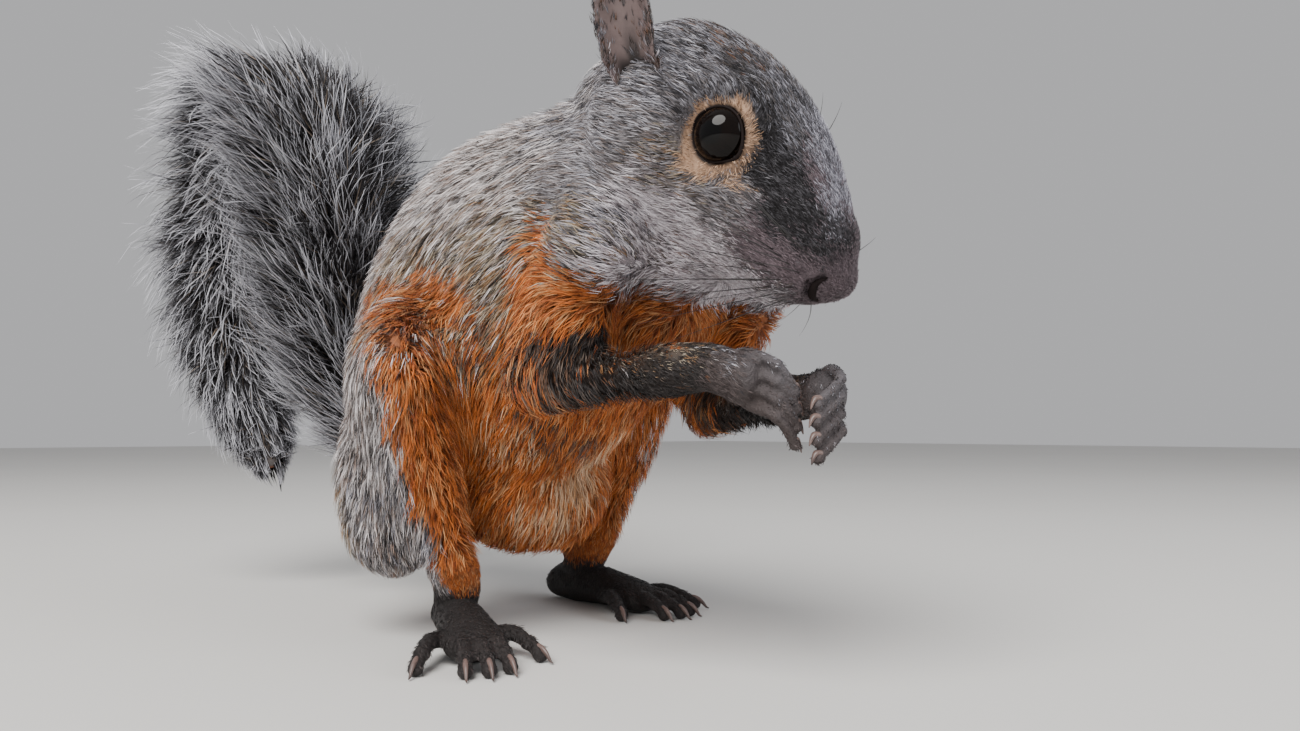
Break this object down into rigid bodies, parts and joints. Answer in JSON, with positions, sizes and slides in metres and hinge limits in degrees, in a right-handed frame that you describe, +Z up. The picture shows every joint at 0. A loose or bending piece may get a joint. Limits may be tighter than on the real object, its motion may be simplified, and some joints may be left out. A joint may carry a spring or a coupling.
{
  "type": "squirrel",
  "caption": "Life-size still model of a grey and rufous tree squirrel sitting on its hind feet, fore paws held under its chin, bushy tail curled up behind it.",
  "frame": {"origin": "on the ground under the middle of the animal, bottom centre of its bounding box", "axes": "+Z up; the animal's body faces -Y; its left side is +X"},
  "size_m": [0.1194, 0.228, 0.1755],
  "materials": {
    "grizzled_grey_fur": "matt",
    "rufous_fur": "matt",
    "dark_skin": "satin",
    "silver_tail_fur": "matt",
    "wet_eye": "gloss"
  },
  "bodies": {
    "root": {"belly": "rufous_fur", "chest": "rufous_fur", "neck": "grizzled_grey_fur", "head": "grizzled_grey_fur", "ear_left": "grizzled_grey_fur", "ear_right": "grizzled_grey_fur", "eye_left": "wet_eye", "eye_right": "wet_eye", "upper_arm_left": "rufous_fur", "upper_arm_right": "rufous_fur", "forearm_left": "grizzled_grey_fur", "forearm_right": "grizzled_grey_fur", "hand_left": "dark_skin", "hand_right": "dark_skin", "thigh_left": "rufous_fur", "thigh_right": "rufous_fur", "shank_left": "rufous_fur", "shank_right": "rufous_fur", "foot_left": "dark_skin", "foot_right": "dark_skin", "tail_1": "silver_tail_fur", "tail_2": "silver_tail_fur", "tail_3": "silver_tail_fur", "tail_4": "silver_tail_fur", "tail_5": "silver_tail_fur", "tail_6": "silver_tail_fur"}
  },
  "joints": []
}
